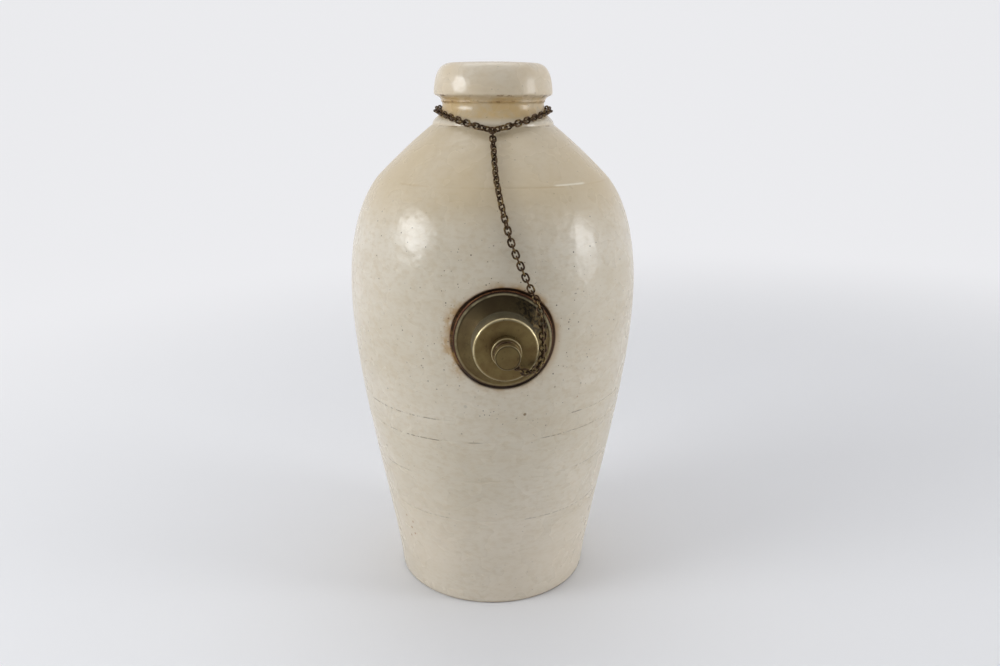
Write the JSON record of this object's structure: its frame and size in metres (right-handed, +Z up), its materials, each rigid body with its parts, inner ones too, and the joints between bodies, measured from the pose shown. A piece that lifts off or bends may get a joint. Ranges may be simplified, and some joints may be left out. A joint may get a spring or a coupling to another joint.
{
  "type": "stoneware hot water bottle",
  "caption": "Upright stoneware hot water bottle with a closed knob on top, a screw stopper with a rubber washer on its front, and a chain from its neck to the stopper.",
  "frame": {"origin": "middle of the flat base", "axes": "+Z up along the bottle's axis, -Y out along the stopper's axis, +X to the right seen from the front"},
  "size_m": [0.152, 0.1768, 0.28],
  "materials": {
    "glazed_stoneware": "glossy cream glaze with iron specks",
    "cement": "matt",
    "brass": "dull",
    "tarnished_brass": "tarnished olive brown, worn bright at the edges",
    "red_rubber": "perished, matt",
    "chain_wire": "dark brown patina"
  },
  "bodies": {
    "bottle": {"stoneware_bottle": "glazed_stoneware", "bush_cement": "cement", "filler_bush": "brass", "joining_ring": "chain_wire", "neck_chain_left": "chain_wire", "neck_chain_back_left": "chain_wire", "neck_chain_back_right": "chain_wire", "neck_chain_right": "chain_wire", "shoulder_chain_upper": "chain_wire", "shoulder_chain_lower": "chain_wire"},
    "washer": {"sealing_washer": "red_rubber"},
    "stopper": {"stopper_flange": "tarnished_brass", "stopper_hub": "tarnished_brass", "stopper_knob": "tarnished_brass", "stopper_screw": "brass", "stud_washer": "brass"},
    "swivel": {"swivel_ring": "chain_wire", "stopper_chain_side": "chain_wire", "stopper_chain_end": "chain_wire"},
    "belly_chain": {"belly_chain_upper": "chain_wire", "belly_chain_middle": "chain_wire", "belly_chain_lower": "chain_wire"}
  },
  "joints": [
    {"name": "stopper_travel", "type": "slide", "parent": "bottle", "child": "washer", "axis": [0, -1, 0], "range_m": [0, 0.009]},
    {"name": "stopper_turn", "type": "hinge", "parent": "washer", "child": "stopper", "pos_m": [0, -0.07185, 0.1566], "axis": [0, -1, 0], "range_deg": [0, 1080]},
    {"name": "swivel_turn", "type": "hinge", "parent": "washer", "child": "swivel", "pos_m": [0, -0.0956, 0.1566], "axis": [0, -1, 0], "range_deg": [0, 11]},
    {"name": "chain_swing", "type": "hinge", "parent": "bottle", "child": "belly_chain", "pos_m": [-0.00021, -0.06836, 0.21548], "axis": [-0.9555, -0.0049, -0.2949], "range_deg": [0, 9.2]}
  ],
  "couplings": [
    {"joint": "stopper_turn", "follows": "stopper_travel", "rad_per_m": 2094.4},
    {"joint": "swivel_turn", "follows": "stopper_travel", "rad_per_m": 21.094},
    {"joint": "chain_swing", "follows": "stopper_travel", "rad_per_m": 17.645}
  ]
}
